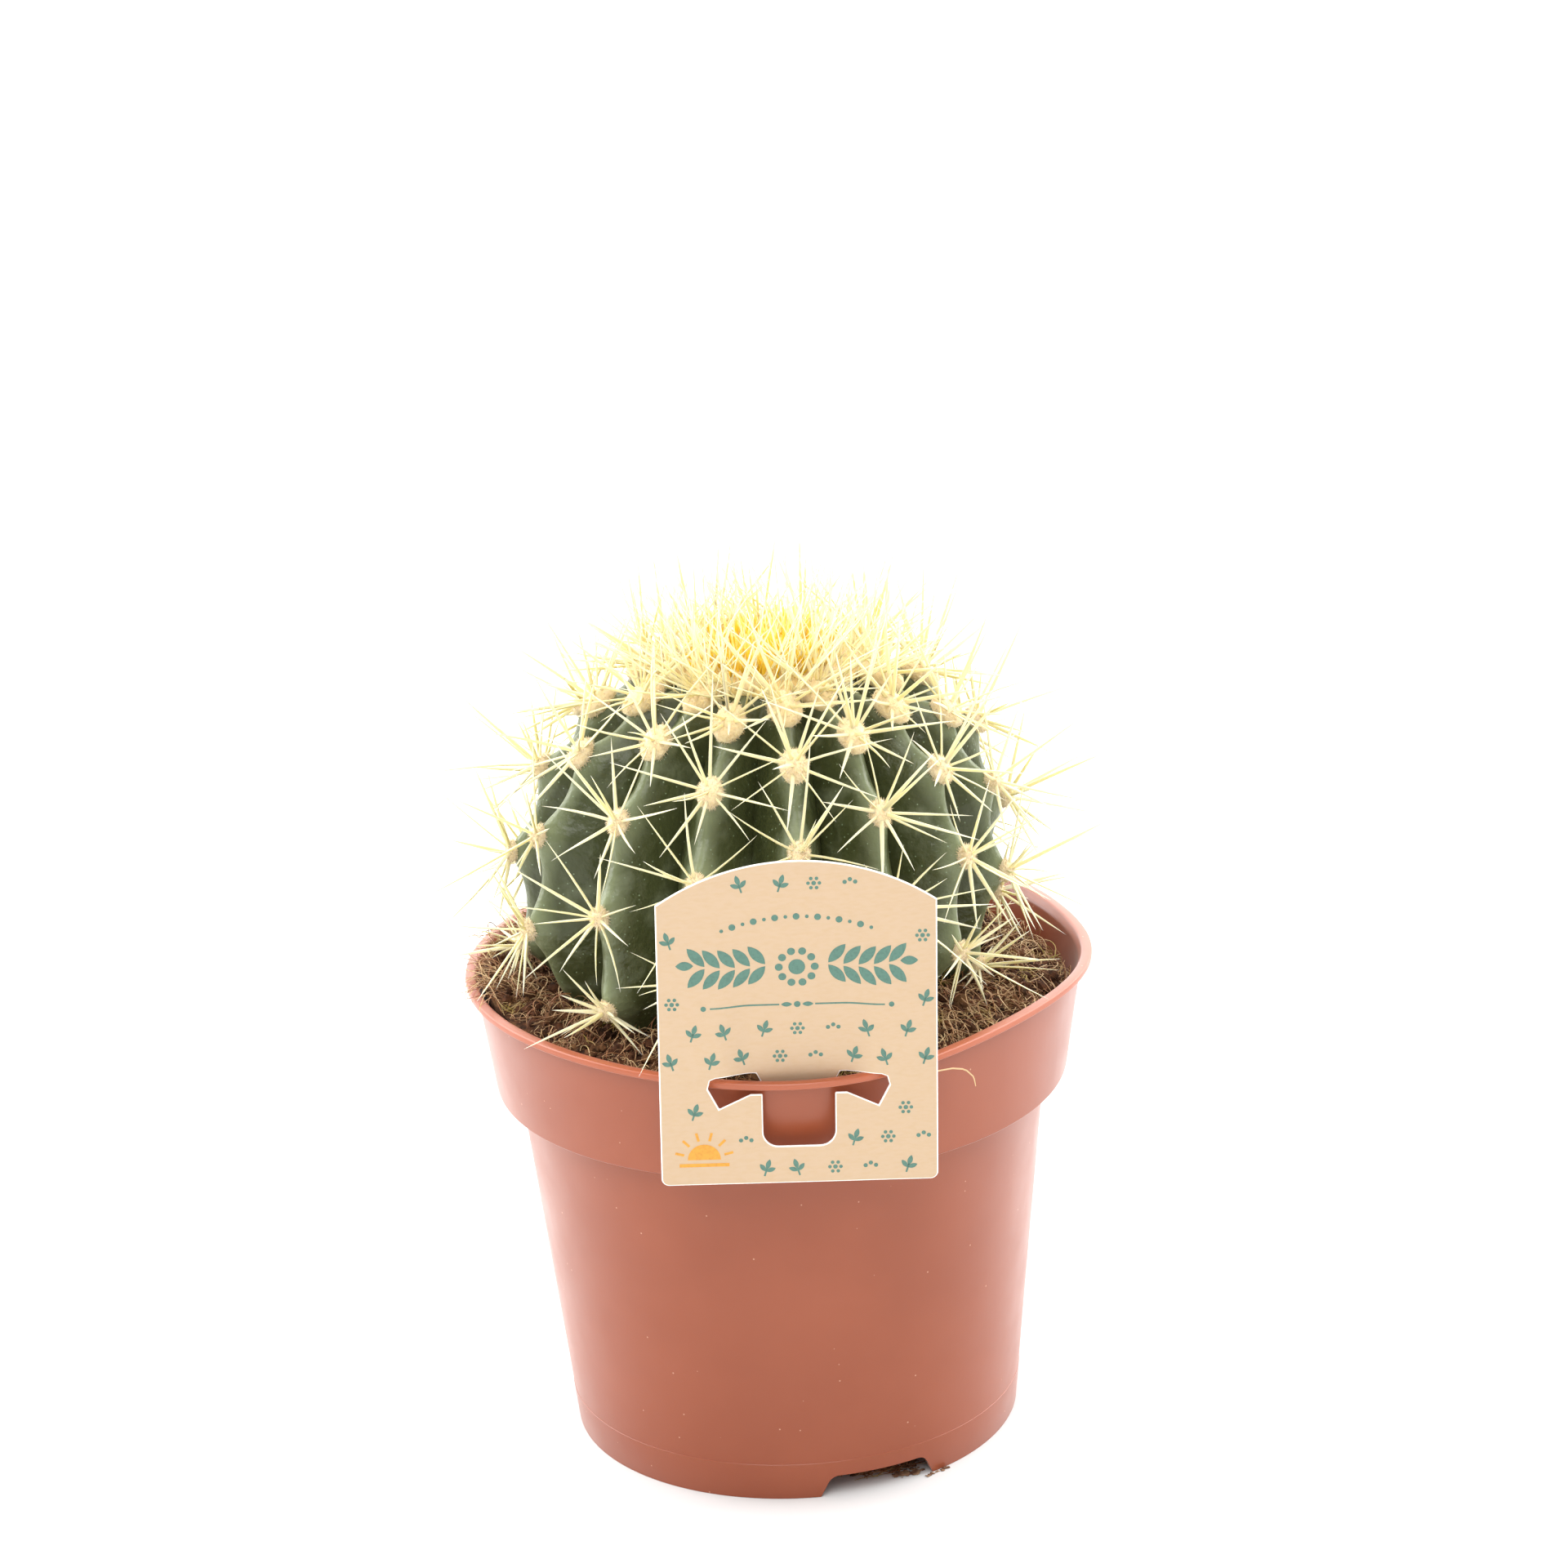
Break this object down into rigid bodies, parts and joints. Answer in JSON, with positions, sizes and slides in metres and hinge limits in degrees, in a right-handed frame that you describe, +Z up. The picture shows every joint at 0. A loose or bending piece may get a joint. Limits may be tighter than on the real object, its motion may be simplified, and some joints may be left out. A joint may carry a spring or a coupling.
{
  "type": "potted round cactus",
  "caption": "Round ribbed cactus with dense straight spines, standing in compost in a tapered plastic nursery pot with a hooked card plant label.",
  "frame": {"origin": "centre of the pot's foot, on the surface that the pot stands on", "axes": "+Z up the pot and the cactus; -Y towards the front, where the label hangs; +X to the right seen from the front"},
  "size_m": [0.1299, 0.1236, 0.1771],
  "materials": {
    "pot_plastic": "satin",
    "compost": "matte",
    "cactus_skin": "satin",
    "cactus_spines": "satin",
    "label_card": "matte"
  },
  "bodies": {
    "root": {"pot": "pot_plastic", "soil": "compost", "cactus": "cactus_skin", "label_card": "label_card"}
  },
  "joints": []
}
